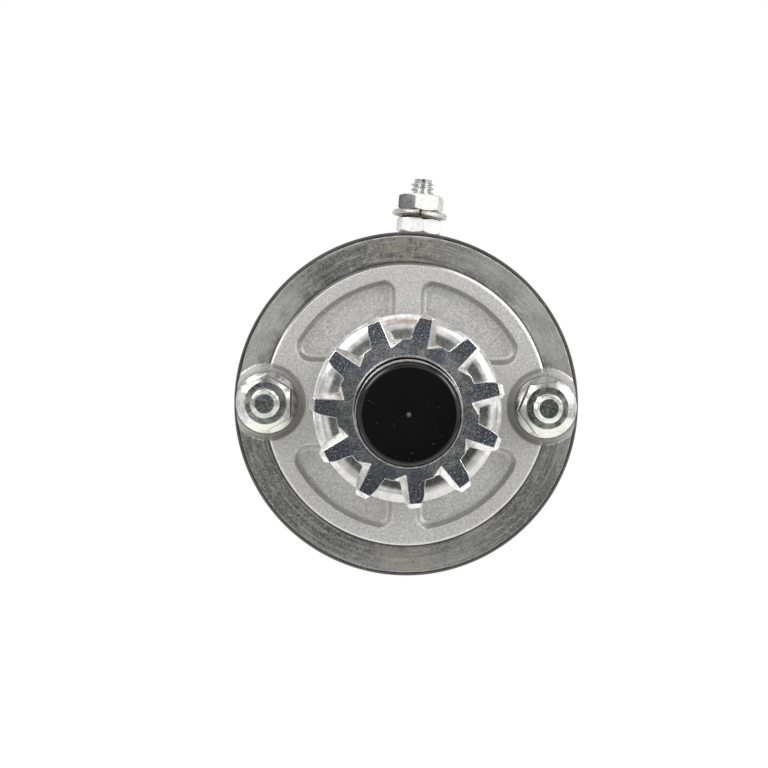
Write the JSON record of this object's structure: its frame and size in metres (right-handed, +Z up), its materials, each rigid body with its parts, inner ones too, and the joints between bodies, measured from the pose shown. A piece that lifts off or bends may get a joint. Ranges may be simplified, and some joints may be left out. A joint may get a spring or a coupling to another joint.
{
  "type": "starter motor",
  "caption": "Small DC starter motor: round black case, cast drive end with a pilot, through bolts, a radial battery terminal and a pinion that screws forward on its shaft.",
  "frame": {"origin": "centre of the drive end cap's pilot in the plane of the mounting face, on the shaft axis", "axes": "-Y along the shaft towards the pinion, the two through bolts on the X axis, +Z up towards the battery terminal"},
  "size_m": [0.0762, 0.1896, 0.096],
  "materials": {
    "cast_aluminium": "as-cast, machined mounting ring",
    "black_paint": "semi-gloss black",
    "zinc_steel": "bright zinc plate",
    "gear_steel": "bright zinc plate",
    "plain_steel": "ground",
    "spring_steel": "drawn wire",
    "bronze": "sintered, oiled",
    "brass": "pressed sheet",
    "copper": "enamelled wire",
    "ferrite": "ground ceramic magnet",
    "carbon": "copper-graphite",
    "black_plastic": "glossy moulded",
    "tan_fibre": "pressed fibre",
    "phenolic": "moulded",
    "rubber": "matt"
  },
  "bodies": {
    "housing": {"drive_end_cap": "cast_aluminium", "case_tube": "black_paint", "rear_end_cap": "black_paint", "rear_gasket": "rubber", "front_bushing": "bronze", "rear_bushing": "bronze", "field_magnets": "ferrite", "magnet_springs": "spring_steel", "through_bolts": "zinc_steel", "flange_nuts": "zinc_steel", "terminal_stud": "zinc_steel", "terminal_bush": "tan_fibre", "terminal_inner_insulator": "tan_fibre", "terminal_washer": "tan_fibre", "terminal_lower_nut": "zinc_steel", "terminal_lock_washer": "zinc_steel", "terminal_upper_nut": "zinc_steel", "brush_plate": "phenolic", "brush_holders": "brass", "brushes": "carbon", "brush_springs": "spring_steel", "brush_leads": "copper", "thrust_washers": "bronze"},
    "armature": {"armature_shaft": "plain_steel", "armature_core": "plain_steel", "armature_windings": "copper", "slot_insulators": "tan_fibre", "commutator_hub": "phenolic", "commutator_bars": "copper", "spring_retainer": "zinc_steel", "retaining_ring": "spring_steel", "spring_cup": "zinc_steel", "dust_cap": "black_plastic", "return_spring": "spring_steel"},
    "spring_seat": {"spring_seat_washer": "zinc_steel"},
    "clutch": {"clutch_shell": "gear_steel", "screw_sleeve": "plain_steel", "clutch_cage": "brass", "clutch_rollers": "plain_steel", "clutch_springs": "spring_steel", "clutch_cover": "zinc_steel"},
    "pinion": {"pinion_gear": "gear_steel", "pinion_bushing": "bronze"}
  },
  "joints": [
    {"name": "armature_spin", "type": "hinge", "parent": "housing", "child": "armature", "pos_m": [0, 0, 0], "axis": [0, -1, 0], "continuous": true},
    {"name": "pinion_travel", "type": "slide", "parent": "armature", "child": "spring_seat", "axis": [0, -1, 0], "range_m": [0, 0.017], "stiffness_N_per_m": 600, "springref_m": -0.004, "deforming": ["return_spring"]},
    {"name": "screw_turn", "type": "hinge", "parent": "spring_seat", "child": "clutch", "pos_m": [0, 0, 0], "axis": [0, -1, 0], "range_deg": [0, 77]},
    {"name": "pinion_overrun", "type": "hinge", "parent": "clutch", "child": "pinion", "pos_m": [0, 0, 0], "axis": [0, -1, 0], "continuous": true}
  ],
  "couplings": [
    {"joint": "screw_turn", "follows": "pinion_travel", "rad_per_m": 78.54}
  ]
}
